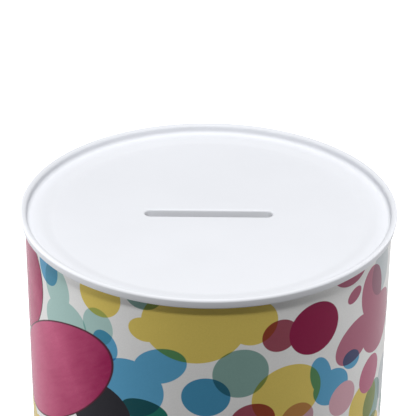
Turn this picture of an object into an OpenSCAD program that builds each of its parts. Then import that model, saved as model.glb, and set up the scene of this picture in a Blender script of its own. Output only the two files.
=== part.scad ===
// Round tin money box: a three-piece can with both ends double seamed to its body.
// The coin slot is in the top end. A push-in plug closes the emptying hole in the base end.
// Sizes are in millimetres. +Z is up, and the origin is the centre of the ring the tin stands on.
// The coin slot runs along X and the body's welded side seam is on the +Y side.

/* [Can] */
// Overall height, over both seams
can_height = 120; // [90:1:200]
// Outer diameter of the body wall
body_d = 99.5; // [95:0.1:130]
// Thickness of the tinplate, in the body and in both ends
sheet_t = 0.24; // [0.22:0.01:0.25]

/* [Double seams] */
// Height of a seam, from its crest to its free edge
seam_height = 2.7; // [2.4:0.1:3.2]
// How far a seam stands out past the body wall at its crest
seam_overhang = 1.25; // [1.25:0.05:1.5]
// How much less it stands out at its free edge
seam_taper = 0.3; // [0.1:0.05:0.3]

/* [Ends] */
// Depth of an end's panel below the crest of its seam, at its edge
panel_depth = 2.6; // [2.4:0.1:4]
// Radius of the fillet between chuck wall and panel
panel_fillet = 1.2; // [0.8:0.1:2]
// Width of the flat ring round the top panel
panel_ring_w = 1.9; // [1:0.1:8]
// How far the middle of the top panel lies below that ring
panel_drop = 0.5; // [0.1:0.05:0.8]

/* [Coin slot] */
// Clear length of the slot
slot_length = 34.6; // [30:0.1:42]
// Clear width of the slot
slot_width = 3.5; // [2.8:0.1:5]
// Depth of the turned-down edge, below the panel
slot_collar = 2.3; // [1.5:0.1:4]

/* [Emptying hole and plug] */
// Clear diameter of the hole in the base
hole_d = 42; // [34:1:46]
// Depth of the hole's turned-in edge, from the panel's outer face
hole_collar = 1.9; // [1.2:0.1:3]
// Diameter of the plug's flange
flange_d = 51; // [48:1:54]
// Thickness of the plug's flange
flange_t = 1.2; // [1:0.1:1.6]
// How far the plug reaches in past its flange
plug_depth = 6.2; // [5:0.1:9]
// Thickness of the plug's wall and closed end
plug_wall = 1.5; // [1.2:0.1:2]

/* [Hidden] */

$fn = 96;
arc_steps = 6;       // straight pieces in a quarter turn of a bent sheet
half_t = sheet_t / 2;
lap_gap = 0.02;      // room between two sheets that lie against each other
cut = 1;             // how far a cutting tool reaches past what it cuts
body_r = body_d / 2;

// Radii of the seam's five layers, each at the middle of its sheet, from the inside out
chuck_r = body_r - sheet_t - lap_gap - half_t;
wall_r = body_r - half_t;
cover_hook_gap = 0.06;   // between the body wall and the cover hook
hook_pitch = 0.34;       // from the middle of the cover hook to the middle of the body hook
cover_hook_r = body_r + cover_hook_gap + half_t;
body_hook_r = cover_hook_r + hook_pitch;
seam_top_r = body_r + seam_overhang - half_t;
seam_foot_r = seam_top_r - seam_taper;

// Heights in a seam, measured down from its crest
crest_inner_bend = 0.5;
crest_outer_bend = 0.6;
compound_gap = 0.14;
compound_t = 0.1;
compound_arc = [130, 20];   // degrees that the compound covers, round the hook's bend
hook_bend = (body_hook_r - wall_r) / 2;
hook_bend_centre = [wall_r + hook_bend, -(sheet_t + compound_gap + half_t + hook_bend)];
hook_tip_gap = 0.55;     // from a body hook's tip to the seam's free edge
cover_tip_drop = 0.35;   // from the top of the body hook's bend to the cover hook's tip
chuck_slope = 3;         // degrees that the chuck wall leans in towards the panel

// Top panel and base panel
ring_inner_r = chuck_r - panel_ring_w - panel_fillet;
ring_blend = 4;          // width of the soft step between ring and panel
first_bead = 6.4;        // from the chuck wall in to the outermost bead
bead_pitch = 5;
bead_radii = [for (i = [0:2]) chuck_r - first_bead - bead_pitch * i];
bead_w = 3.4;
bead_h = 0.7;

// Coin slot and hole edges
lip_bend = 0.5;
slot_straight = slot_length - slot_width;

// Side seam of the body
weld_w = 0.8;
weld_h = 0.08;
weld_clear = 0.4;        // from a seam's free edge to the end of the weld

// Plug
plug_gap = 0.05;
plug_r = hole_d / 2 - 0.3;
plug_chamfer = 0.8;
cup_fillet = 1;
rib_r = hole_d / 2 - 0.05;
rib_w = 0.5;
rib_root = 0.3;          // how deep a rib is set in the plug's wall
rib_rises = [0.9, 1.9];  // from the flange to the middle of each rib
flange_round = 0.4;
lug_r = 4.5;

// Points of an arc about c, from angle a to angle b in degrees
function arc(c, r, a, b, n = arc_steps) =
    [for (i = [0:n]) c + r * [cos(a + (b - a) * i / n), sin(a + (b - a) * i / n)]];

// Unit vector of v, and v turned a quarter turn to the left
function unit(v) = v / norm(v);
function left(v) = [-v[1], v[0]];

// Outward normal of an open line p at its point i, long enough to keep a bent sheet at full thickness
function miter(p, i) =
    let (a = left(unit(p[max(i, 1)] - p[max(i, 1) - 1])),
         b = left(unit(p[min(i + 1, len(p) - 1)] - p[min(i + 1, len(p) - 1) - 1])))
    (a + b) / (1 + a * b);

// Outline of a sheet of thickness t whose middle follows the line p
function sheet(p, t = sheet_t) = concat(
    [for (i = [0:len(p) - 1]) p[i] + miter(p, i) * t / 2],
    [for (i = [len(p) - 1:-1:0]) p[i] - miter(p, i) * t / 2]);

// A line seen in a mirror at height h, run the other way
function flipped(p, h) = [for (i = [len(p) - 1:-1:0]) [p[i][0], h - p[i][1]]];

// The end's rim from the tip of its cover hook, round the seam and down to where the panel starts.
// Heights are below the crest, at 0.
function rim_line() =
    let (foot_bend = (seam_foot_r - cover_hook_r) / 2,
         foot_y = -seam_height + half_t + foot_bend,
         wall_drop = panel_depth - half_t - panel_fillet - crest_inner_bend,
         chuck_foot_r = chuck_r - wall_drop * tan(chuck_slope))
    concat(
        [[cover_hook_r, hook_bend_centre[1] + hook_bend - half_t - cover_tip_drop]],
        arc([cover_hook_r + foot_bend, foot_y], foot_bend, 180, 360, 2 * arc_steps),
        arc([seam_top_r - crest_outer_bend, -half_t - crest_outer_bend], crest_outer_bend, 0, 90),
        arc([chuck_r + crest_inner_bend, -half_t - crest_inner_bend], crest_inner_bend, 90, 180),
        arc([chuck_foot_r - panel_fillet, -panel_depth - half_t + panel_fillet], panel_fillet, 0, -90));

// The soft step down from the flat ring to the middle of the top panel
function step_line(steps = 8) =
    [for (i = [0:steps])
        let (s = i / steps)
        [ring_inner_r - ring_blend * s, -panel_depth - half_t - panel_drop * (1 - cos(180 * s)) / 2]];

// A round bead of the base panel, across its radius r
function bead_line(r, steps = 8) =
    [for (i = [0:steps])
        let (s = i / steps)
        [r + bead_w * (0.5 - s), -panel_depth - half_t - bead_h * (1 - cos(360 * s)) / 2]];

// The turned edge of a hole: from the panel, round the bend and along the collar.
// x is the distance from the hole's edge line to the sheet, and the panel's outer face is at 0.
function lip_line(clear, depth) = concat(
    arc([clear + half_t + lip_bend, -half_t - lip_bend], lip_bend, 90, 180),
    [[clear + half_t, -depth]]);

// The body wall with a hook rolled outwards at each end
function body_line() =
    let (top = concat(
            [[body_hook_r, -seam_height + hook_tip_gap]],
            arc(hook_bend_centre, hook_bend, 0, 180, 2 * arc_steps)))
    concat([for (q = top) [q[0], can_height + q[1]]], flipped(top, 0));

// A stadium of the given half width about the slot's straight middle
module slot_outline(half_w) {
    square([slot_straight, 2 * half_w], center = true);
    for (side = [-1, 1]) translate([side * slot_straight / 2, 0]) circle(r = half_w);
}

// The slot's rounded lip and turned-down collar, all the way round
module slot_lip() {
    outline = sheet(lip_line(slot_width / 2, slot_collar));
    for (side = [-1, 1]) {
        mirror([0, side < 0 ? 1 : 0, 0])
            rotate([90, 0, 90]) linear_extrude(slot_straight, center = true) polygon(outline);
        translate([side * slot_straight / 2, 0, 0])
            rotate([0, 0, -90 * side]) rotate_extrude(angle = 180) polygon(outline);
    }
}

// The welded side seam, a low ridge down the outside of the wall
module side_weld() {
    clear = seam_height + weld_clear;
    translate([-weld_w / 2, wall_r, clear])
        cube([weld_w, half_t + weld_h, can_height - 2 * clear]);
}

module can_body() {
    color("whitesmoke") {
        rotate_extrude() polygon(sheet(body_line()));
        side_weld();
    }
}

module top_end() {
    panel_top = -panel_depth - panel_drop;
    color("white") translate([0, 0, can_height]) {
        difference() {
            rotate_extrude() polygon(sheet(concat(rim_line(), step_line(), [[0, panel_top - half_t]])));
            translate([0, 0, panel_top - cut])
                linear_extrude(2 * cut) slot_outline(slot_width / 2 + half_t + lip_bend);
        }
        translate([0, 0, panel_top]) slot_lip();
    }
}

module base_end() {
    edge = [for (q = lip_line(hole_d / 2, hole_collar)) q - [0, panel_depth]];
    beads = [for (r = bead_radii) each bead_line(r)];
    color("silver") mirror([0, 0, 1])
        rotate_extrude() polygon(sheet(concat(rim_line(), beads, edge)));
}

// The rubbery lining compound that seals a seam, between the body hook and the end
module seam_compound() {
    line = arc(hook_bend_centre, hook_bend + half_t + lap_gap + compound_t / 2,
               compound_arc[0], compound_arc[1], 2 * arc_steps);
    color("dimgray") rotate_extrude() polygon(sheet(line, compound_t));
}

module top_seam_compound() {
    translate([0, 0, can_height]) seam_compound();
}

module base_seam_compound() {
    mirror([0, 0, 1]) seam_compound();
}

// The plug: a cup with its mouth outwards, a flange, two gripping ribs and a pull lug
module base_plug() {
    flange_top = panel_depth - plug_gap;
    flange_foot = flange_top - flange_t;
    plug_top = flange_top + plug_depth;
    cup_r = plug_r - plug_wall;
    color("gainsboro") {
        rotate_extrude() polygon(concat(
            arc([cup_r + flange_round, flange_foot + flange_round], flange_round, 180, 270),
            arc([flange_d / 2 - flange_round, flange_foot + flange_round], flange_round, -90, 0),
            [[flange_d / 2, flange_top], [plug_r, flange_top], [plug_r, plug_top - plug_chamfer]],
            [[plug_r - plug_chamfer, plug_top], [0, plug_top], [0, plug_top - plug_wall]],
            arc([cup_r - cup_fillet, plug_top - plug_wall - cup_fillet], cup_fillet, 90, 0)));
        for (rise = rib_rises)
            translate([0, 0, flange_top + rise - rib_w / 2])
                difference() {
                    cylinder(r = rib_r, h = rib_w);
                    translate([0, 0, -cut]) cylinder(r = plug_r - rib_root, h = rib_w + 2 * cut);
                }
        translate([0, -flange_d / 2, flange_foot])
            difference() {
                cylinder(r = lug_r, h = flange_t);
                translate([-lug_r, lug_r / 2, -cut]) cube([2 * lug_r, lug_r, flange_t + 2 * cut]);
            }
    }
}

can_body();
top_end();
base_end();
top_seam_compound();
base_seam_compound();
base_plug();
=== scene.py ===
"""Tin money box: a round printed can with a white, slotted top end, an end at the base and a plastic plug."""

import logging
import math
from dataclasses import dataclass
from enum import Enum
from typing import Any, Callable, Optional, Sequence

import bpy
from mathutils import Matrix, Vector

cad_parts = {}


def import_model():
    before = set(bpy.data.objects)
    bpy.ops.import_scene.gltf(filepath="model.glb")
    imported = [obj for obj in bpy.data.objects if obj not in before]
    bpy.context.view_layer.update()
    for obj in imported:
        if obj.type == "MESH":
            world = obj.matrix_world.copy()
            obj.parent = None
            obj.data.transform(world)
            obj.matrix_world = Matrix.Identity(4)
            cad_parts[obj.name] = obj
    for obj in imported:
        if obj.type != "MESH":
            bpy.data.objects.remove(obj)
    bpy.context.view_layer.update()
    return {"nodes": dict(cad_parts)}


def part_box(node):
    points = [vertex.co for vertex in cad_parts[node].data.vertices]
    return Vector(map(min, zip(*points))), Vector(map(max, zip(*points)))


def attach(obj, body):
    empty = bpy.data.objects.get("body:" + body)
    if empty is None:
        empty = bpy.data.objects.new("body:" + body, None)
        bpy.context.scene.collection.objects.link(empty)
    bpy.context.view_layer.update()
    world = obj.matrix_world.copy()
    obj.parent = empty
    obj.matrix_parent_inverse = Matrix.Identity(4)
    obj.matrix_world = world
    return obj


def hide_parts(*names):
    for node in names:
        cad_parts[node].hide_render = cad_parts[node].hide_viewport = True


MM = 0.001
TURN_STEPS = 256      # faces round the tin
BEND_STEPS = 8        # faces in a quarter turn of a bent sheet
MERGE = 1e-6          # metres; points closer than this are one point
SMOOTH_ANGLE = math.radians(32)

Point = tuple[float, float]
Place = tuple[float, float, float]
Colour = tuple[float, float, float]
Socket = Any

log = logging.getLogger("tin_money_box")


# -----------------------------------------------------------------------------
# Lines in the half plane of radius and height, in millimetres
# -----------------------------------------------------------------------------

def bend(centre: Point, radius: float, start: float, end: float, steps: int = BEND_STEPS) -> list[Point]:
    """Points of a bend.

    Args:
        centre: The bend's centre.
        radius: Its radius.
        start: The angle it starts at, in degrees.
        end: The angle it ends at.
        steps: How many straight pieces it has.

    Returns:
        The points from start to end.
    """
    angles = [math.radians(start + (end - start) * i / steps) for i in range(steps + 1)]
    return [(centre[0] + radius * math.cos(a), centre[1] + radius * math.sin(a)) for a in angles]


def flipped(points: Sequence[Point]) -> list[Point]:
    """The same line upside down, run the other way."""
    return [(r, -z) for r, z in reversed(points)]


def lifted(points: Sequence[Point], height: float) -> list[Point]:
    """The same line, moved up by this height."""
    return [(r, z + height) for r, z in points]


# -----------------------------------------------------------------------------
# Mesh work
# -----------------------------------------------------------------------------

def only(obj: bpy.types.Object) -> None:
    """Selects one object alone and makes it the active one."""
    bpy.ops.object.select_all(action="DESELECT")
    obj.select_set(True)
    bpy.context.view_layer.objects.active = obj


def edit(obj: bpy.types.Object) -> None:
    """Opens an object in edit mode with nothing selected."""
    only(obj)
    bpy.ops.object.mode_set(mode="EDIT")
    bpy.ops.mesh.select_mode(type="VERT")
    bpy.ops.mesh.select_all(action="DESELECT")


def done() -> None:
    """Goes back to object mode."""
    bpy.ops.object.mode_set(mode="OBJECT")


def pick_verts(obj: bpy.types.Object, wanted: Callable[[Vector], bool]) -> None:
    """Selects points by their place, in edit mode.

    Args:
        obj: The object, open in edit mode.
        wanted: Says whether the point at this place is selected.
    """
    bpy.ops.mesh.select_mode(type="VERT")
    bpy.ops.mesh.select_all(action="DESELECT")
    bpy.ops.object.mode_set(mode="OBJECT")
    for vert in obj.data.vertices:
        vert.select = wanted(vert.co)
    bpy.ops.object.mode_set(mode="EDIT")


def pick_edges(obj: bpy.types.Object, wanted: Callable[[Vector, Vector], bool]) -> None:
    """Selects edges by the places of their two ends, in edit mode.

    Args:
        obj: The object, open in edit mode.
        wanted: Says whether the edge between these places is selected.
    """
    bpy.ops.mesh.select_mode(type="EDGE")
    bpy.ops.mesh.select_all(action="DESELECT")
    bpy.ops.object.mode_set(mode="OBJECT")
    verts = obj.data.vertices
    for edge in obj.data.edges:
        edge.select = wanted(verts[edge.vertices[0]].co, verts[edge.vertices[1]].co)
    bpy.ops.object.mode_set(mode="EDIT")


def pick_faces(obj: bpy.types.Object, wanted: Callable[[Vector, Vector], bool]) -> None:
    """Selects faces by their place and normal, in edit mode.

    Args:
        obj: The object, open in edit mode.
        wanted: Says whether the face with this centre and normal is selected.
    """
    bpy.ops.mesh.select_mode(type="FACE")
    bpy.ops.mesh.select_all(action="DESELECT")
    bpy.ops.object.mode_set(mode="OBJECT")
    for face in obj.data.polygons:
        face.select = wanted(face.center, face.normal)
    bpy.ops.object.mode_set(mode="EDIT")


def draw_line(name: str, points: Sequence[Point]) -> bpy.types.Object:
    """Draws a line in the XZ plane, one point after the other.

    Args:
        name: The new object's name.
        points: Radius and height of each point, in millimetres.

    Returns:
        The object, which is one open line.
    """
    here = Vector((points[0][0], 0, points[0][1])) * MM
    bpy.ops.object.select_all(action="DESELECT")
    bpy.ops.mesh.primitive_plane_add(size=MM, location=here)
    obj = bpy.context.object
    obj.name = obj.data.name = name
    bpy.ops.object.transform_apply(location=True, rotation=True, scale=True)
    edit(obj)
    bpy.ops.mesh.select_all(action="SELECT")
    bpy.ops.mesh.merge(type="CENTER")
    for r, z in points[1:]:
        there = Vector((r, 0, z)) * MM
        bpy.ops.mesh.extrude_vertices_move(TRANSFORM_OT_translate={"value": there - here})
        here = there
    done()
    return obj


def lathe(name: str, points: Sequence[Point]) -> bpy.types.Object:
    """Draws a line and spins it round the tin's axis.

    Args:
        name: The new object's name.
        points: Radius and height of each point, in millimetres.

    Returns:
        The object, with its points merged. No point lies on the plane that halves the tin.
    """
    obj = draw_line(name, points)
    edit(obj)
    bpy.ops.mesh.select_all(action="SELECT")
    bpy.ops.transform.rotate(value=math.pi / TURN_STEPS, orient_axis="Z", center_override=(0, 0, 0))
    bpy.ops.mesh.spin(steps=TURN_STEPS, angle=math.tau, center=(0, 0, 0), axis=(0, 0, 1))
    bpy.ops.mesh.select_all(action="SELECT")
    bpy.ops.mesh.remove_doubles(threshold=MERGE)
    bpy.ops.mesh.normals_make_consistent(inside=False)
    done()
    return obj


def face_side(obj: bpy.types.Object, place: Vector, side: Vector) -> None:
    """Turns an open sheet over if its good side looks the wrong way.

    Args:
        obj: The sheet, before it has a thickness.
        place: A place on the sheet, in metres.
        side: The way that its good side looks there.
    """
    nearest = min(obj.data.polygons, key=lambda face: (face.center - place).length)
    if nearest.normal.dot(side) < 0:
        edit(obj)
        bpy.ops.mesh.select_all(action="SELECT")
        bpy.ops.mesh.flip_normals()
        done()


def thicken(obj: bpy.types.Object, thickness: float) -> None:
    """Gives an open sheet its thickness, half on each side. Its back takes the second material.

    The modifier can only give the back that material if the sheet has two slots already.

    Args:
        obj: The sheet, with its good side outwards.
        thickness: In millimetres.
    """
    only(obj)
    for _ in range(2):
        obj.data.materials.append(None)
    solid = obj.modifiers.new("thickness", "SOLIDIFY")
    solid.thickness = thickness * MM
    solid.offset = 0
    solid.use_even_offset = True
    solid.use_quality_normals = True
    solid.material_offset = 1
    solid.material_offset_rim = 1
    bpy.ops.object.modifier_apply(modifier=solid.name)


def join(first: bpy.types.Object, *others: bpy.types.Object) -> bpy.types.Object:
    """Joins other objects into the first and returns it."""
    only(first)
    for obj in others:
        obj.select_set(True)
    bpy.ops.object.join()
    return first


def smooth(obj: bpy.types.Object) -> None:
    """Shades an object smooth, apart from its sharp edges."""
    only(obj)
    bpy.ops.object.shade_smooth_by_angle(angle=SMOOTH_ANGLE)


def paint(obj: bpy.types.Object, *materials: bpy.types.Material) -> None:
    """Gives an object these materials, in order."""
    slots = obj.data.materials
    for place, material in enumerate(materials):
        if place < len(slots):
            slots[place] = material
        else:
            slots.append(material)


# -----------------------------------------------------------------------------
# Node work
# -----------------------------------------------------------------------------

class Nodes:
    """Adds nodes to one tree and joins them up."""

    def __init__(self, tree: bpy.types.NodeTree) -> None:
        """Starts with an empty tree."""
        self.tree = tree
        tree.nodes.clear()

    def add(self, kind: str, inputs: Optional[dict[Any, Any]] = None, **settings: Any) -> bpy.types.Node:
        """Adds a node.

        Args:
            kind: The node's type, without "ShaderNode".
            inputs: What each input gets, by name or number: another node's output, or a value.
            settings: The node's own settings.

        Returns:
            The node.
        """
        node = self.tree.nodes.new("ShaderNode" + kind)
        for key, value in settings.items():
            setattr(node, key, value)
        for key, value in (inputs or {}).items():
            if isinstance(value, bpy.types.NodeSocket):
                self.tree.links.new(value, node.inputs[key])
            else:
                node.inputs[key].default_value = value
        return node

    def math(self, operation: str, *values: Any) -> Socket:
        """One Math node's result."""
        return self.add("Math", dict(enumerate(values)), operation=operation).outputs[0]

    def vector(self, operation: str, *values: Any) -> Socket:
        """One Vector Math node's result."""
        node = self.add("VectorMath", dict(enumerate(values)), operation=operation)
        return node.outputs[1 if operation == "LENGTH" else 0]

    def mix(self, share: Any, under: Any, over: Any, blend_type: str = "MIX") -> Socket:
        """Lays one colour over another.

        Args:
            share: How much of the upper colour shows.
            under: The lower colour.
            over: The upper colour.
            blend_type: How the two mix.

        Returns:
            The mixed colour.
        """
        node = self.add("Mix", data_type="RGBA", blend_type=blend_type)
        for key, value in ((0, share), (6, under), (7, over)):
            if isinstance(value, bpy.types.NodeSocket):
                self.tree.links.new(value, node.inputs[key])
            elif isinstance(value, tuple):
                node.inputs[key].default_value = (*value, 1.0)
            else:
                node.inputs[key].default_value = value
        return node.outputs[2]

    def spread(self, value: Any, low: Any, high: Any, to_low: float, to_high: float,
               even: bool = True) -> Socket:
        """Maps a value from one range to another and keeps it inside, evenly or with soft ends."""
        return self.add("MapRange", {0: value, 1: low, 2: high, 3: to_low, 4: to_high},
                        interpolation_type="LINEAR" if even else "SMOOTHSTEP").outputs[0]

    def noise(self, place: Socket, scale: float, detail: float = 2.0, roughness: float = 0.5) -> Socket:
        """A noise value, about 0.5 on average, with this many waves to the metre."""
        return self.add("TexNoise", {"Vector": place, "Scale": scale, "Detail": detail,
                                     "Roughness": roughness}).outputs[0]

    def place(self) -> Socket:
        """The place on the object, in its own metres."""
        return self.add("TexCoord").outputs["Object"]

    def stretched(self, place: Socket, by: Place) -> Socket:
        """A place scaled by its own amount along each axis."""
        return self.add("Mapping", {"Vector": place, "Scale": by}).outputs[0]

    def toned(self, noise: Socket, low: float = 0.0, high: float = 1.0) -> Socket:
        """Maps a noise's middle part, where most of it lies, to this range."""
        return self.spread(noise, 0.3, 0.7, low, high)

    def bump(self, height: Socket, distance: float) -> Socket:
        """A normal that follows a height of this many metres."""
        return self.add("Bump", {"Height": height, "Strength": 1.0, "Distance": distance}).outputs[0]

    def finish(self, inputs: dict[str, Any]) -> None:
        """Adds the main shader, with these inputs, and the output."""
        shader = self.add("BsdfPrincipled", inputs)
        self.add("OutputMaterial", {"Surface": shader.outputs[0]})


def new_material(name: str) -> tuple[bpy.types.Material, Nodes]:
    """Makes a material with an empty node tree and returns both."""
    material = bpy.data.materials.new(name)
    material.use_nodes = True
    return material, Nodes(material.node_tree)


# -----------------------------------------------------------------------------
# The printed pattern
# -----------------------------------------------------------------------------

class Ink(Enum):
    """The inks, as the share of red, green and blue light that each lets through."""

    YELLOW = (0.86, 0.67, 0.155)
    BLUE = (0.12, 0.44, 0.72)
    DEEP_BLUE = (0.07, 0.33, 0.56)
    MINT = (0.48, 0.70, 0.67)
    GREY_TEAL = (0.27, 0.45, 0.41)
    DARK_TEAL = (0.01, 0.20, 0.15)
    MIST = (0.64, 0.70, 0.74)
    PINK = (0.62, 0.36, 0.42)
    ROSE = (0.53, 0.17, 0.26)
    CRIMSON = (0.48, 0.13, 0.22)
    DARK_ROSE = (0.38, 0.08, 0.12)
    DARK_CRIMSON = (0.255, 0.003, 0.055)
    CHARCOAL = (0.018, 0.018, 0.025)


@dataclass(frozen=True)
class Oval:
    """A printed oval, in millimetres on the unrolled body: its centre and its half sizes, and its tilt in degrees."""

    across: float
    up: float
    half_width: float
    half_height: float
    tilt: float = 0.0


@dataclass(frozen=True)
class Patch:
    """Ovals that are printed together in one ink. An opaque patch hides what is under it."""

    ink: Ink
    ovals: tuple[Oval, ...]
    opaque: bool = False


PATCHES = (
    Patch(Ink.YELLOW, (Oval(-3.5, 111.5, 13.5, 10.8), Oval(-16, 109, 4.5, 3.5), Oval(11.5, 112, 6.5, 6.5))),
    Patch(Ink.YELLOW, (Oval(-29, 115.5, 6.4, 6.2),)),
    Patch(Ink.YELLOW, (Oval(21.5, 88.5, 10, 9),)),
    Patch(Ink.YELLOW, (Oval(51, 73, 8, 7, -20),)),
    Patch(Ink.YELLOW, (Oval(-4, 73, 8, 6.5, 15),)),
    Patch(Ink.MINT, (Oval(-42, 102, 8.6, 7, 12), Oval(-45, 111.5, 5.4, 6.8, 14))),
    Patch(Ink.MINT, (Oval(-29.8, 106, 4.8, 5.4),)),
    Patch(Ink.MINT, (Oval(32, 71, 7, 5.5, 30),)),
    Patch(Ink.BLUE, (Oval(-49, 115.5, 4.8, 5.2),)),
    Patch(Ink.BLUE, (Oval(-20.5, 90.5, 9.4, 8.6), Oval(-12.2, 98.8, 7.4, 5, 24))),
    Patch(Ink.BLUE, (Oval(-27.6, 101, 3.8, 4.6, 20),)),
    Patch(Ink.BLUE, (Oval(35.5, 86, 6.4, 5.4, -15), Oval(31.6, 91, 3.4, 6.2, 16))),
    Patch(Ink.BLUE, (Oval(43, 91.2, 3.8, 2.8, -25),)),
    Patch(Ink.MIST, (Oval(66, 73, 5.5, 7),)),
    Patch(Ink.BLUE, (Oval(14, 70, 6, 5),)),
    Patch(Ink.DEEP_BLUE, (Oval(-0.3, 90.5, 6.3, 5.8),)),
    Patch(Ink.GREY_TEAL, (Oval(8.6, 97.3, 7.3, 7.2),)),
    Patch(Ink.GREY_TEAL, (Oval(57, 70, 6.5, 7, 20),)),
    Patch(Ink.GREY_TEAL, (Oval(-16.5, 119, 5, 4.2),)),
    Patch(Ink.DARK_TEAL, (Oval(-16.5, 84, 6.5, 3.8, -5),)),
    Patch(Ink.MIST, (Oval(58, 111, 6.5, 7, 10),)),
    Patch(Ink.PINK, (Oval(40, 80.3, 5.2, 5.1),), opaque=True),
    Patch(Ink.PINK, (Oval(24.5, 80, 5, 5),)),
    Patch(Ink.DARK_ROSE, (Oval(18.8, 107, 4.9, 4.7),)),
    Patch(Ink.DARK_ROSE, (Oval(12, 82.5, 6, 5.2),)),
    Patch(Ink.ROSE, (Oval(58, 95.5, 10.5, 8.8, -8), Oval(44.5, 96.5, 8.4, 6, 22), Oval(52.5, 107, 6, 8.6, 12))),
    Patch(Ink.CRIMSON, (Oval(53.4, 81.2, 5.9, 5.6),), opaque=True),
    Patch(Ink.CRIMSON, (Oval(41.5, 120, 7.2, 5.6),)),
    Patch(Ink.CRIMSON, (Oval(43, 110.8, 3, 2, 25),)),
    Patch(Ink.DARK_CRIMSON, (Oval(29, 106.4, 7.7, 7.6),), opaque=True),
    Patch(Ink.CHARCOAL, (Oval(-30, 80, 9.8, 9),), opaque=True),
)


@dataclass(frozen=True)
class Lobe:
    """A big airbrushed oval, rose at one end and crimson at the other, with a thin dark edge."""

    oval: Oval
    pale: Colour = (0.58, 0.105, 0.225)
    deep: Colour = (0.31, 0.006, 0.08)
    edge: Colour = (0.055, 0.008, 0.02)


LOBES = (Lobe(Oval(-68, 103, 18, 14, 52)), Lobe(Oval(-50.3, 83.2, 29.5, 13.4, 35)))


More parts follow.
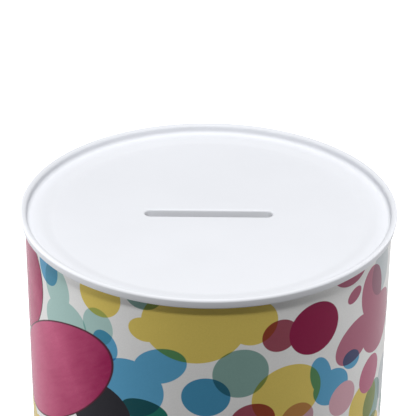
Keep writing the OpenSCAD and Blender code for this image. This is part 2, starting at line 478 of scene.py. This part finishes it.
@dataclass(frozen=True)
class PrintedTin:
    """Tinplate printed with translucent ovals on a white ground and varnished over.

    The pattern is a cell half way round the tin, repeated in rows. Each row is turned against the one above.
    """

    wall_radius: float
    row_height: float = 56.0
    row_turn: float = 70.0
    ground: Colour = (0.80, 0.80, 0.795)
    edge_blur: float = 0.10
    margin: float = 4.0
    weld: float = 0.45

    def oval_group(self) -> bpy.types.NodeTree:
        """Builds the node group that says what lies inside one oval and its repeats.

        Returns:
            The group. Its inputs are in millimetres on the unrolled body.
        """
        group = bpy.data.node_groups.new("printed_oval", "ShaderNodeTree")
        nodes = Nodes(group)
        for name, kind in (("Place", "Vector"), ("Centre", "Vector"), ("Size", "Vector"), ("Turn", "Vector"),
                           ("Blur", "Float")):
            group.interface.new_socket(name, in_out="INPUT", socket_type="NodeSocket" + kind)
        group.interface.new_socket("Inside", in_out="OUTPUT", socket_type="NodeSocketFloat")
        group.interface.new_socket("Spot", in_out="OUTPUT", socket_type="NodeSocketVector")
        given = group.nodes.new("NodeGroupInput").outputs
        half_cell = math.pi * self.wall_radius / 2
        away = nodes.vector("SUBTRACT", given["Place"], given["Centre"])
        up = nodes.add("SeparateXYZ", {0: away}).outputs[1]
        row = nodes.math("ROUND", nodes.math("DIVIDE", up, self.row_height))
        scaled = nodes.add("VectorMath", {0: (self.row_turn, self.row_height, 0.0), "Scale": row}, operation="SCALE")
        near = nodes.vector("SUBTRACT", away, scaled.outputs[0])
        near = nodes.vector("WRAP", near, (half_cell, self.row_height, 1.0), (-half_cell, -self.row_height, -1.0))
        spot = nodes.add("Mapping", {"Vector": near, "Rotation": given["Turn"], "Scale": given["Size"]},
                         vector_type="TEXTURE").outputs[0]
        distance = nodes.vector("LENGTH", spot)
        inside = nodes.spread(distance, nodes.math("SUBTRACT", 1.0, given["Blur"]),
                              nodes.math("ADD", 1.0, given["Blur"]), 1.0, 0.0, even=False)
        result = group.nodes.new("NodeGroupOutput")
        group.links.new(inside, result.inputs["Inside"])
        group.links.new(spot, result.inputs["Spot"])
        return group

    def oval(self, nodes: Nodes, group: bpy.types.NodeTree, place: Socket, oval: Oval) -> tuple[Socket, Socket]:
        """Adds one oval to the print.

        Args:
            nodes: The material's nodes.
            group: The oval group.
            place: The place on the unrolled body.
            oval: The oval.

        Returns:
            How far inside it a place is, from 0 to 1, and the place within it, from its centre to 1 at its edge.
        """
        node = nodes.add("Group")
        node.node_tree = group
        nodes.tree.links.new(place, node.inputs["Place"])
        node.inputs["Centre"].default_value = (oval.across, oval.up, 0.0)
        node.inputs["Size"].default_value = (oval.half_width, oval.half_height, 1.0)
        node.inputs["Turn"].default_value = (0.0, 0.0, math.radians(oval.tilt))
        node.inputs["Blur"].default_value = self.edge_blur / min(oval.half_width, oval.half_height)
        return node.outputs["Inside"], node.outputs["Spot"]

    def lobe(self, nodes: Nodes, group: bpy.types.NodeTree, place: Socket, under: Socket, lobe: Lobe) -> Socket:
        """Lays one airbrushed lobe over the print and returns the new colour."""
        inside, spot = self.oval(nodes, group, place, lobe.oval)
        along, across, _ = nodes.add("SeparateXYZ", {0: spot}).outputs
        streak_share, cloud_share = 0.3, 0.5
        band_middle, band_half, band_strength = 0.35, 0.25, 0.45
        rim_start, rim_end, rim_strength = 0.96, 0.985, 0.95
        streaks = nodes.noise(nodes.stretched(spot, (1.2, 5.0, 1.0)), 2.4, 5.0, 0.62)
        cloud = nodes.noise(spot, 3.2, 4.0, 0.6)
        depth = nodes.math("MULTIPLY_ADD", along, 0.6, 0.3)
        depth = nodes.math("MULTIPLY_ADD", across, -0.28, depth)
        depth = nodes.math("ADD", depth, nodes.math("MULTIPLY_ADD", streaks, streak_share, -streak_share / 2))
        depth = nodes.math("ADD", depth, nodes.math("MULTIPLY_ADD", cloud, cloud_share, -cloud_share / 2))
        band = nodes.math("ABSOLUTE", nodes.math("SUBTRACT", along, band_middle))
        spray = nodes.math("MULTIPLY", nodes.spread(band, 0.0, band_half, band_strength, 0.0),
                           nodes.noise(spot, 26.0, 4.0, 0.7))
        depth = nodes.math("SUBTRACT", depth, spray)
        colour = nodes.mix(nodes.spread(depth, 0.0, 1.0, 0.0, 1.0), lobe.pale, lobe.deep)
        rim = nodes.spread(nodes.vector("LENGTH", spot), rim_start, rim_end, 0.0, rim_strength,
                           even=False)
        return nodes.mix(inside, under, nodes.mix(rim, colour, lobe.edge))

    def pattern(self, nodes: Nodes, place: Socket) -> Socket:
        """Builds the whole pattern.

        Args:
            nodes: The material's nodes.
            place: The place on the unrolled body.

        Returns:
            The colour of the print.
        """
        group = self.oval_group()
        colour = nodes.mix(0.0, self.ground, self.ground)
        for patch in PATCHES:
            mask = None
            for oval in patch.ovals:
                inside, _ = self.oval(nodes, group, place, oval)
                mask = inside if mask is None else nodes.math("MAXIMUM", mask, inside)
            colour = nodes.mix(mask, colour, patch.ink.value, "MIX" if patch.opaque else "MULTIPLY")
        for lobe in LOBES:
            colour = self.lobe(nodes, group, place, colour, lobe)
        return colour

    def make(self) -> bpy.types.Material:
        """Makes the material."""
        material, nodes = new_material("printed_tin")
        here = nodes.place()
        x, y, z = nodes.add("SeparateXYZ", {0: here}).outputs
        angle = nodes.math("ARCTAN2", x, nodes.math("MULTIPLY", y, -1.0))
        across = nodes.math("MULTIPLY", angle, self.wall_radius)
        up = nodes.math("DIVIDE", z, MM)
        flat = nodes.add("CombineXYZ", {0: across, 1: up}).outputs[0]
        colour = self.pattern(nodes, flat)
        grain = nodes.noise(here, 2600.0, 2.0)
        cloud = nodes.noise(here, 60.0, 3.0)
        tone = nodes.math("ADD", nodes.toned(grain, 0.975, 1.025),
                          nodes.math("MULTIPLY_ADD", cloud, 0.06, -0.03))
        grey = nodes.add("CombineColor", {0: tone, 1: tone, 2: tone}).outputs[0]
        colour = nodes.mix(1.0, colour, grey, "MULTIPLY")
        # the bare margins either side of the weld, which is at the back
        side = nodes.math("ABSOLUTE", nodes.math("DIVIDE", x, MM))
        bare = nodes.spread(side, self.margin - 0.08, self.margin + 0.08, 1.0, 0.0, even=False)
        bare = nodes.math("MULTIPLY", bare, nodes.math("GREATER_THAN", y, 0.0))
        burnt = nodes.math("MULTIPLY", bare,
                           nodes.spread(side, self.weld, self.weld + 0.9, 1.0, 0.0, even=False))
        rolled = nodes.noise(nodes.stretched(here, (900.0, 900.0, 14.0)), 1.0, 3.0, 0.6)
        tin = nodes.mix(nodes.toned(rolled), (0.52, 0.51, 0.49), (0.66, 0.65, 0.63))
        tin = nodes.mix(burnt, tin, (0.20, 0.17, 0.16))
        rough = nodes.toned(nodes.noise(here, 240.0, 4.0), 0.14, 0.22)
        relief = nodes.math("ADD", nodes.math("MULTIPLY", grain, 0.25), nodes.noise(here, 420.0, 2.0))
        nodes.finish({
            "Base Color": nodes.mix(bare, colour, tin),
            "Metallic": bare,
            "Roughness": rough,
            "IOR": 1.33,
            "Normal": nodes.bump(relief, 0.000012),
        })
        return material


# -----------------------------------------------------------------------------
# The other finishes
# -----------------------------------------------------------------------------

@dataclass(frozen=True)
class WhiteLacquer:
    """White stoved lacquer on pressed tinplate: smooth, with a faint orange peel."""

    colour: Colour = (0.795, 0.81, 0.85)
    roughness: float = 0.5

    def make(self) -> bpy.types.Material:
        """Makes the material."""
        material, nodes = new_material("white_lacquer")
        here = nodes.place()
        cloud = nodes.noise(here, 45.0, 3.0)
        dimmed = tuple(0.975 * c for c in self.colour)
        shade = nodes.mix(nodes.toned(cloud), dimmed, self.colour)
        rough = nodes.toned(nodes.noise(here, 60.0, 2.0), self.roughness - 0.03, self.roughness + 0.03)
        relief = nodes.math("ADD", nodes.noise(here, 90.0, 1.0),
                            nodes.math("MULTIPLY", nodes.noise(here, 1500.0, 1.0), 0.04))
        nodes.finish({
            "Base Color": shade,
            "Roughness": rough,
            "IOR": 1.25,
            "Normal": nodes.bump(relief, 0.00002),
        })
        return material


@dataclass(frozen=True)
class BareTin:
    """Unprinted tinplate, with the fine grain of the rolling mill along Y."""

    dark: Colour = (0.50, 0.50, 0.49)
    pale: Colour = (0.66, 0.66, 0.64)

    def make(self) -> bpy.types.Material:
        """Makes the material."""
        material, nodes = new_material("bare_tin")
        here = nodes.place()
        grain = nodes.noise(nodes.stretched(here, (2200.0, 35.0, 300.0)), 1.0, 4.0, 0.6)
        cloud = nodes.noise(here, 90.0, 5.0, 0.6)
        share = nodes.math("MULTIPLY_ADD", grain, 0.6, nodes.math("MULTIPLY", cloud, 0.4))
        nodes.finish({
            "Base Color": nodes.mix(nodes.spread(share, 0.35, 0.65, 0.0, 1.0), self.dark, self.pale),
            "Metallic": 1.0,
            "Roughness": nodes.spread(share, 0.35, 0.65, 0.26, 0.40),
            "Anisotropic": 0.4,
            "Normal": nodes.bump(grain, 0.000006),
        })
        return material


@dataclass(frozen=True)
class LiningCompound:
    """The rubbery lining compound in the seams."""

    colour: Colour = (0.045, 0.045, 0.05)

    def make(self) -> bpy.types.Material:
        """Makes the material."""
        material, nodes = new_material("lining_compound")
        here = nodes.place()
        cloud = nodes.noise(here, 600.0, 4.0)
        nodes.finish({
            "Base Color": nodes.mix(nodes.toned(cloud), self.colour, (0.09, 0.09, 0.095)),
            "Roughness": nodes.toned(cloud, 0.55, 0.75),
            "Normal": nodes.bump(nodes.noise(here, 2500.0, 3.0), 0.00002),
        })
        return material


@dataclass(frozen=True)
class SoftPlastic:
    """Milky soft plastic, as it comes from the mould."""

    colour: Colour = (0.72, 0.72, 0.70)

    def make(self) -> bpy.types.Material:
        """Makes the material."""
        material, nodes = new_material("plug_plastic")
        here = nodes.place()
        cloud = nodes.noise(here, 120.0, 4.0)
        fine = nodes.noise(here, 3500.0, 3.0)
        nodes.finish({
            "Base Color": nodes.mix(nodes.toned(cloud), self.colour, (0.66, 0.665, 0.65)),
            "Roughness": nodes.toned(cloud, 0.38, 0.5),
            "Subsurface Weight": 0.25,
            "Subsurface Radius": (0.0015, 0.0015, 0.0012),
            "Subsurface Scale": 1.0,
            "Normal": nodes.bump(fine, 0.00001),
        })
        return material


# -----------------------------------------------------------------------------
# The tin
# -----------------------------------------------------------------------------

@dataclass(frozen=True)
class DoubleSeam:
    """A double seam: the hooks of body and end, rolled into each other. Heights count from its crest, at 0."""

    outer_radius: float
    overhang: float = 1.25
    height: float = 2.7
    taper: float = 0.3
    sheet: float = 0.24
    lap: float = 0.02
    hook_room: float = 0.06
    hook_step: float = 0.34
    compound_gap: float = 0.14
    inner_bend: float = 0.9
    outer_bend: float = 0.6
    hook_tip_gap: float = 0.55
    cover_tip_drop: float = 0.35
    panel_depth: float = 2.6
    fillet: float = 1.2
    chuck_slope: float = 3.0

    @property
    def body_radius(self) -> float:
        """Outer radius of the body wall."""
        return self.outer_radius - self.overhang

    @property
    def wall_line(self) -> float:
        """Radius of the middle of the body wall."""
        return self.body_radius - self.sheet / 2

    @property
    def chuck_line(self) -> float:
        """Radius of the middle of the end's chuck wall, at the crest."""
        return self.body_radius - self.sheet - self.lap - self.sheet / 2

    @property
    def cover_hook_line(self) -> float:
        """Radius of the middle of the end's hook."""
        return self.body_radius + self.hook_room + self.sheet / 2

    @property
    def hook_bend(self) -> float:
        """Radius of the body hook's bend."""
        return (self.cover_hook_line + self.hook_step - self.wall_line) / 2

    @property
    def hook_centre(self) -> Point:
        """Centre of the body hook's bend."""
        return (self.wall_line + self.hook_bend, -1.5 * self.sheet - self.compound_gap - self.hook_bend)

    def body_hook(self) -> list[Point]:
        """The body's hook, from its tip over its bend to the wall."""
        tip = (self.cover_hook_line + self.hook_step, self.hook_tip_gap - self.height)
        return [tip] + bend(self.hook_centre, self.hook_bend, 0, 180, 2 * BEND_STEPS)

    def end_rim(self) -> list[Point]:
        """The end's rim, from the tip of its hook round the seam and down to the panel."""
        half = self.sheet / 2
        top_line = self.outer_radius - half
        foot = (top_line - self.taper - self.cover_hook_line) / 2
        drop = self.panel_depth - half - self.fillet - self.inner_bend
        chuck_foot = self.chuck_line - drop * math.tan(math.radians(self.chuck_slope))
        tip_height = self.hook_centre[1] + self.hook_bend - half - self.cover_tip_drop
        return (
            [(self.cover_hook_line, tip_height)]
            + bend((self.cover_hook_line + foot, half + foot - self.height), foot, 180, 360, 2 * BEND_STEPS)
            + bend((top_line - self.outer_bend, -half - self.outer_bend), self.outer_bend, 0, 90)
            + bend((self.chuck_line + self.inner_bend, -half - self.inner_bend), self.inner_bend, 90, 180)
            + bend((chuck_foot - self.fillet, self.fillet - self.panel_depth - half), self.fillet, 0, -90)
        )


@dataclass
class CanBody:
    """The printed body: one rolled sheet with a hook at each end and a weld down the back."""

    seam: DoubleSeam
    height: float
    weld_width: float = 0.8
    weld_height: float = 0.08
    weld_clear: float = 3.1
    wall_rows: int = 12

    def build(self) -> bpy.types.Object:
        """Builds the body's mesh.

        Returns:
            The body, without its materials.
        """
        top = lifted(self.seam.body_hook(), self.height)
        foot = flipped(self.seam.body_hook())
        wall = self.seam.wall_line
        rows = [(wall, self.height * (1 - i / self.wall_rows)) for i in range(1, self.wall_rows)]
        body = lathe("printed_body", top + rows + foot)
        face_side(body, Vector((0, -wall, self.height / 2)) * MM, Vector((0, -1, 0)))
        thicken(body, self.seam.sheet)
        self.raise_weld(body)
        return body

    def raise_weld(self, body: bpy.types.Object) -> None:
        """Raises the weld, a low ridge down the outside of the wall at the back."""
        low, high = self.weld_clear * MM, (self.height - self.weld_clear) * MM
        half = self.weld_width / 2 * MM
        outside = self.seam.wall_line * MM
        reach, skin, facing = 3 * MM, 0.2 * MM, 0.5

        def strip(centre: Vector, normal: Vector) -> bool:
            """Whether a face is on the outside of the wall near the weld."""
            near = abs(centre.x) < reach and outside - MM < centre.y < outside + skin
            return near and normal.y > facing

        edit(body)
        cuts = [((side * half, 0, 0), (1, 0, 0)) for side in (-1, 1)]
        cuts += [((0, 0, level), (0, 0, 1)) for level in (low, high)]
        for place, normal in cuts:
            pick_faces(body, strip)
            bpy.ops.mesh.bisect(plane_co=place, plane_no=normal)
        pick_faces(body, lambda centre, normal: strip(centre, normal) and abs(centre.x) < half
                   and low < centre.z < high)
        bpy.ops.mesh.extrude_region_move(TRANSFORM_OT_translate={"value": (0, self.weld_height * MM, 0)})
        done()

    def dress(self, body: bpy.types.Object, outside: bpy.types.Material, inside: bpy.types.Material) -> None:
        """Gives the body its materials and its place in the frame."""
        smooth(body)
        paint(body, outside, inside)
        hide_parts("can_body")
        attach(body, "tin")


@dataclass(frozen=True)
class CoinSlot:
    """The coin slot, whose edge is turned down. It runs along X."""

    length: float = 34.6
    width: float = 3.5
    collar: float = 2.3
    bend: float = 0.5
    lean: float = 10.0
    apron: float = 1.4

    def lip(self, name: str, sheet: float, level: float) -> bpy.types.Object:
        """Builds the slot's lip and collar.

        Args:
            name: The new object's name.
            sheet: The thickness of the sheet.
            level: The height of the panel's outer face.

        Returns:
            The lip as an open sheet, with a narrow strip of panel round it.
        """
        half = sheet / 2
        line = self.width / 2 + half
        corner = bend((line + self.bend, -half - self.bend), self.bend, 180 - self.lean, 90)
        drop = self.collar + corner[0][1]
        points = [(corner[0][0] - drop * math.tan(math.radians(self.lean)), -self.collar)] + corner
        points.append((line + self.bend + self.apron, -half))
        lip = lathe(name, lifted(points, level))
        edit(lip)
        for side in (-1, 1):
            pick_verts(lip, lambda place: place.x * side > 0)
            bpy.ops.transform.translate(value=(side * (self.length - self.width) / 2 * MM, 0, 0))
        done()
        return lip


@dataclass
class TopEnd:
    """The white top end: rim, panel with a soft step near its edge, and the coin slot."""

    seam: DoubleSeam
    height: float
    ring_width: float = 1.9
    step_width: float = 4.0
    step_drop: float = 0.5
    step_faces: int = 12
    slot: CoinSlot = CoinSlot()

    @property
    def panel_level(self) -> float:
        """Height of the middle of the panel's outer face."""
        return self.height - self.seam.panel_depth - self.step_drop

    @property
    def inner_radius(self) -> float:
        """Radius of the inner edge of the soft step."""
        return self.seam.chuck_line - self.ring_width - self.seam.fillet - self.step_width

    def step(self) -> list[Point]:
        """The soft step from the flat ring down to the middle of the panel."""
        ring = self.height - self.seam.panel_depth - self.seam.sheet / 2
        start = self.inner_radius + self.step_width
        shares = [i / self.step_faces for i in range(self.step_faces + 1)]
        return [(start - self.step_width * s, ring - self.step_drop * (1 - math.cos(math.pi * s)) / 2) for s in shares]

    def build(self) -> bpy.types.Object:
        """Builds the top end's mesh.

        Returns:
            The top end, without its materials.
        """
        line = lifted(self.seam.end_rim(), self.height) + self.step()
        edge = self.inner_radius - 1.5
        line.append((edge, self.panel_level - self.seam.sheet / 2))
        end = lathe("white_top_end", line)
        join(end, self.slot.lip("slot_lip", self.seam.sheet, self.panel_level))
        self.fill_panel(end, edge)
        face_side(end, Vector((0, -edge, self.panel_level)) * MM, Vector((0, 0, 1)))
        thicken(end, self.seam.sheet)
        return end

    def fill_panel(self, end: bpy.types.Object, edge: float) -> None:
        """Fills the panel between the ring and the slot's strip.

        Args:
            end: The two open sheets, joined in one object.
            edge: The ring's inner radius, in millimetres.
        """
        level = (self.panel_level - self.seam.sheet / 2) * MM
        strip = (self.slot.width / 2 + self.seam.sheet / 2 + self.slot.bend + self.slot.apron) * MM
        shift = (self.slot.length - self.slot.width) / 2 * MM
        flat, near = 0.01 * MM, 0.05 * MM

        def on_edge(place: Vector) -> bool:
            """Whether a point is on the ring's inner edge or the strip's outer edge."""
            if abs(place.z - level) > flat:
                return False
            from_slot = math.hypot(max(abs(place.x) - shift, 0.0), place.y)
            from_axis = math.hypot(place.x, place.y)
            return abs(from_slot - strip) < near or abs(from_axis - edge * MM) < near

        edit(end)
        pick_edges(end, lambda a, b: on_edge(a) and on_edge(b))
        bpy.ops.mesh.bridge_edge_loops()
        bpy.ops.mesh.select_all(action="SELECT")
        bpy.ops.mesh.normals_make_consistent(inside=False)
        done()

    def dress(self, end: bpy.types.Object, outside: bpy.types.Material, inside: bpy.types.Material) -> None:
        """Gives the top end its materials and its place in the frame."""
        smooth(end)
        paint(end, outside, inside)
        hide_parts("top_end")
        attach(end, "tin")


@dataclass
class BaseEnd:
    """The end at the base: rim, three expansion beads and the emptying hole, whose edge is turned in."""

    seam: DoubleSeam
    hole_radius: float = 21.0
    hole_collar: float = 1.9
    hole_bend: float = 0.5
    bead_count: int = 3
    bead_margin: float = 6.4
    bead_pitch: float = 5.0
    bead_width: float = 3.4
    bead_height: float = 0.7
    bead_faces: int = 12

    def bead(self, radius: float) -> list[Point]:
        """One bead across its radius, below the crest of the seam."""
        level = -self.seam.panel_depth - self.seam.sheet / 2
        shares = [i / self.bead_faces for i in range(self.bead_faces + 1)]
        return [(radius + self.bead_width * (0.5 - s), level - self.bead_height * (1 - math.cos(math.tau * s)) / 2)
                for s in shares]

    def hole_edge(self) -> list[Point]:
        """The hole's turned-in edge, below the crest of the seam."""
        half = self.seam.sheet / 2
        line = self.hole_radius + half
        corner = (line + self.hole_bend, -self.seam.panel_depth - half - self.hole_bend)
        return bend(corner, self.hole_bend, 90, 180) + [(line, -self.seam.panel_depth - self.hole_collar)]

    def build(self) -> bpy.types.Object:
        """Builds the base end's mesh.

        Returns:
            The base end, without its materials.
        """
        line = self.seam.end_rim()
        for number in range(self.bead_count):
            line += self.bead(self.seam.chuck_line - self.bead_margin - number * self.bead_pitch)
        line += self.hole_edge()
        end = lathe("tin_base_end", flipped(line))
        flat = self.hole_radius + 2
        face_side(end, Vector((0, -flat, self.seam.panel_depth)) * MM, Vector((0, 0, -1)))
        thicken(end, self.seam.sheet)
        return end

    def dress(self, end: bpy.types.Object, outside: bpy.types.Material, inside: bpy.types.Material) -> None:
        """Gives the base end its materials and its place in the frame."""
        smooth(end)
        paint(end, outside, inside)
        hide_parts("base_end")
        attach(end, "tin")


@dataclass
class BasePlug:
    """The soft plug in the emptying hole: a cup, a flange, two gripping ribs and a pull lug."""

    foot: float
    top: float
    flange_radius: float = 25.5
    flange_height: float = 1.2
    cup_radius: float = 19.2
    wall_radius: float = 20.7
    rib_radius: float = 20.95
    rib_rises: tuple[float, ...] = (0.9, 1.9)
    rib_width: float = 0.5
    wall: float = 1.5
    chamfer: float = 0.8
    floor_fillet: float = 1.0
    edge_round: float = 0.4
    lug_radius: float = 4.5

    def outline(self) -> list[Point]:
        """The plug's outline, from the axis inside the cup round the flange to the axis on top."""
        flange_top = self.foot + self.flange_height
        cup_floor = self.top - self.wall
        edge = self.edge_round
        line = [(0.0, cup_floor)]
        line += bend((self.cup_radius - self.floor_fillet, cup_floor - self.floor_fillet), self.floor_fillet, 90, 0)
        line += bend((self.cup_radius + edge, self.foot + edge), edge, 180, 270)
        line += bend((self.flange_radius - edge, self.foot + edge), edge, -90, 0)
        line += [(self.flange_radius, flange_top), (self.wall_radius, flange_top)]
        for rise in self.rib_rises:
            middle = flange_top + rise
            line += [(self.wall_radius, middle - self.rib_width / 2), (self.rib_radius, middle - self.rib_width / 4),
                     (self.rib_radius, middle + self.rib_width / 4), (self.wall_radius, middle + self.rib_width / 2)]
        line += [(self.wall_radius, self.top - self.chamfer), (self.wall_radius - self.chamfer, self.top)]
        return line + [(0.0, self.top)]

    def lug(self) -> bpy.types.Object:
        """Builds the pull lug, which stands out at the front of the flange."""
        middle = Vector((0, -self.flange_radius, self.foot + self.flange_height / 2)) * MM
        bpy.ops.object.select_all(action="DESELECT")
        bpy.ops.mesh.primitive_cylinder_add(vertices=64, radius=self.lug_radius * MM,
                                            depth=self.flange_height * MM, location=middle)
        lug = bpy.context.object
        lug.name = lug.data.name = "pull_lug"
        bpy.ops.object.transform_apply(location=True, rotation=True, scale=True)
        edit(lug)
        low = self.foot * MM + MERGE
        pick_edges(lug, lambda a, b: max(a.z, b.z) < low)
        bpy.ops.mesh.bevel(offset=self.edge_round * MM, segments=4, affect="EDGES")
        bpy.ops.mesh.select_all(action="SELECT")
        bpy.ops.mesh.bisect(plane_co=(0, (self.lug_radius / 2 - self.flange_radius) * MM, 0), plane_no=(0, 1, 0),
                            use_fill=True, clear_outer=True)
        done()
        return lug

    def build(self) -> bpy.types.Object:
        """Builds the plug's mesh.

        Returns:
            The plug, without its material.
        """
        plug = lathe("base_plug_cup", self.outline())
        lug = self.lug()
        only(plug)
        union = plug.modifiers.new("lug", "BOOLEAN")
        union.operation = "UNION"
        union.solver = "EXACT"
        union.object = lug
        bpy.ops.object.modifier_apply(modifier=union.name)
        bpy.data.objects.remove(lug)
        return plug

    def dress(self, plug: bpy.types.Object, material: bpy.types.Material) -> None:
        """Gives the plug its material and its place in the frame."""
        smooth(plug)
        paint(plug, material)
        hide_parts("base_plug")
        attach(plug, "plug")


# -----------------------------------------------------------------------------
# The studio
# -----------------------------------------------------------------------------

class Lights(Enum):
    """What a softbox lights."""

    TIN_AND_FLOOR = "tin and floor"
    FLOOR_AND_CARD = "floor and card"


@dataclass(frozen=True)
class Softbox:
    """A soft square light, in metres and watts."""

    name: str
    place: Place
    aim: Place
    width: float
    height: float
    power: float
    lights: Lights = Lights.TIN_AND_FLOOR

    def build(self, floor: bpy.types.Object, card: bpy.types.Object) -> None:
        """Hangs the light. The camera doesn't see it.

        Args:
            floor: The floor.
            card: The card under the tin.
        """
        bpy.ops.object.select_all(action="DESELECT")
        bpy.ops.object.light_add(type="AREA", location=self.place)
        lamp = bpy.context.object
        lamp.name = self.name
        lamp.rotation_euler = (Vector(self.aim) - Vector(self.place)).to_track_quat("-Z", "Y").to_euler()
        lamp.data.shape = "RECTANGLE"
        lamp.data.size, lamp.data.size_y = self.width, self.height
        lamp.data.energy = self.power
        lamp.visible_camera = False
        group = bpy.data.collections.new(self.name + "_group")
        group.objects.link(card)
        if self.lights is Lights.FLOOR_AND_CARD:
            group.objects.link(floor)
        else:
            group.collection_objects[0].light_linking.link_state = "EXCLUDE"
        lamp.light_linking.receiver_collection = group


SOFTBOXES = (
    Softbox("key_light", (-0.04, -0.40, 1.14), (0.0, 0.0, 0.12), 0.30, 0.10, 10.3),
    Softbox("right_light", (0.93, 0.35, 0.07), (0.0, 0.0, 0.07), 0.6, 0.09, 5.7),
    Softbox("left_light", (-0.98, 0.20, 0.07), (0.0, 0.0, 0.07), 0.6, 0.09, 7.3),
    Softbox("top_light", (0.0, 0.10, 1.25), (0.0, 0.02, 0.12), 0.7, 0.5, 3.2),
    Softbox("floor_light", (0.0, 0.9, 0.5), (0.0, 0.35, 0.0), 1.2, 0.5, 12.0, Lights.FLOOR_AND_CARD),
)


@dataclass
class Studio:
    """Floor, sky, lights and camera."""

    crest: float
    distance: float = 0.4785
    elevation: float = 27.98
    roll: float = 0.526
    lens: float = 152.85
    aim_right: float = -0.0002
    aim_up: float = -0.0015
    sky: float = 0.10
    backdrop: float = 0.66
    floor_size: float = 9.0
    floor_tone: float = 0.92
    floor_glow: float = 0.57

    def plane(self, name: str, level: float, glow: float) -> bpy.types.Object:
        """Lays one pale plane.

        Args:
            name: Its name.
            level: Its height, in millimetres.
            glow: How much it shines by itself.

        Returns:
            The plane.
        """
        bpy.ops.object.select_all(action="DESELECT")
        bpy.ops.mesh.primitive_plane_add(size=self.floor_size, location=(0, 0, level * MM))
        plane = bpy.context.object
        plane.name = name
        material, nodes = new_material(name + "_paper")
        cloud = nodes.noise(nodes.place(), 3.0, 2.0)
        tone = nodes.toned(cloud, self.floor_tone - 0.01, self.floor_tone)
        nodes.finish({
            "Base Color": nodes.add("CombineColor", {0: tone, 1: tone, 2: tone}).outputs[0],
            "Roughness": 0.9,
            "Specular IOR Level": 0.1,
            "Emission Color": (1.0, 1.0, 1.0, 1.0),
            "Emission Strength": glow,
        })
        paint(plane, material)
        return plane

    def floor(self) -> tuple[bpy.types.Object, bpy.types.Object]:
        """Lays the floor, and on it the card that throws light up at the tin but isn't seen.

        Returns:
            The floor and the card.
        """
        floor = self.plane("floor", -0.2, self.floor_glow)
        floor.visible_diffuse = floor.visible_glossy = False
        card = self.plane("card", -0.1, 0.0)
        card.visible_camera = card.visible_shadow = False
        return floor, card

    def world(self) -> None:
        """Makes the even sky of the studio. It looks as pale as the far floor but gives less light."""
        scene = bpy.context.scene
        if scene.world is None:
            scene.world = bpy.data.worlds.new("studio")
        scene.world.use_nodes = True
        nodes = Nodes(scene.world.node_tree)
        seen = nodes.add("LightPath").outputs["Is Camera Ray"]
        strength = nodes.math("MULTIPLY_ADD", seen, self.backdrop - self.sky, self.sky)
        sky = nodes.add("Background", {"Color": (1.0, 1.0, 1.0, 1.0), "Strength": strength})
        nodes.add("OutputWorld", {"Surface": sky.outputs[0]})

    def camera(self) -> None:
        """Sets up the camera, a little above the tin and a touch out of level."""
        height = self.crest * MM
        angle = math.radians(self.elevation)
        place = Vector((0, -self.distance * math.cos(angle), height + self.distance * math.sin(angle)))
        ahead = (Vector((self.aim_right, 0, height + self.aim_up)) - place).normalized()
        right = ahead.cross(Vector((0, 0, 1))).normalized()
        above = right.cross(ahead)
        turn = math.radians(self.roll)
        right, above = right * math.cos(turn) + above * math.sin(turn), above * math.cos(turn) - right * math.sin(turn)
        bpy.ops.object.camera_add()
        camera = bpy.context.object
        camera.name = "camera"
        camera.data.sensor_width = 36.0
        camera.data.lens = self.lens
        camera.data.clip_start, camera.data.clip_end = 0.01, 100.0
        matrix = Matrix((right, above, -ahead)).transposed().to_4x4()
        matrix.translation = place
        camera.matrix_world = matrix
        bpy.context.scene.camera = camera

    def build(self) -> None:
        """Builds the whole studio."""
        floor, card = self.floor()
        self.world()
        for softbox in SOFTBOXES:
            softbox.build(floor, card)
        self.camera()
        bpy.context.scene.view_settings.view_transform = "Standard"


def main() -> None:
    """Builds the tin and its studio, and reports each piece."""
    logging.basicConfig(level=logging.INFO, format="%(name)s: %(message)s")
    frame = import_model()
    top_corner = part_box("top_end")[1] / MM
    plug_box = [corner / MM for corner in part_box("base_plug")]
    seam = DoubleSeam(outer_radius=top_corner.x)

    Studio(crest=top_corner.z).build()
    log.info("studio: floor, sky, %d lights, camera", len(SOFTBOXES))

    printed = PrintedTin(wall_radius=seam.body_radius).make()
    white = WhiteLacquer().make()
    tin = BareTin().make()
    compound = LiningCompound().make()
    plastic = SoftPlastic().make()

    body = CanBody(seam, height=top_corner.z)
    made = body.build()
    body.dress(made, printed, tin)
    log.info("%s: %d faces", made.name, len(made.data.polygons))

    top = TopEnd(seam, height=top_corner.z)
    made = top.build()
    top.dress(made, white, tin)
    log.info("%s: %d faces", made.name, len(made.data.polygons))

    base = BaseEnd(seam)
    made = base.build()
    base.dress(made, tin, tin)
    log.info("%s: %d faces", made.name, len(made.data.polygons))

    plug = BasePlug(foot=plug_box[0].z, top=plug_box[1].z)
    made = plug.build()
    plug.dress(made, plastic)
    log.info("%s: %d faces", made.name, len(made.data.polygons))

    for name in ("top_seam_compound", "base_seam_compound"):
        paint(frame["nodes"][name], compound)
        log.info("%s: dressed", name)


if __name__ == "__main__":
    main()
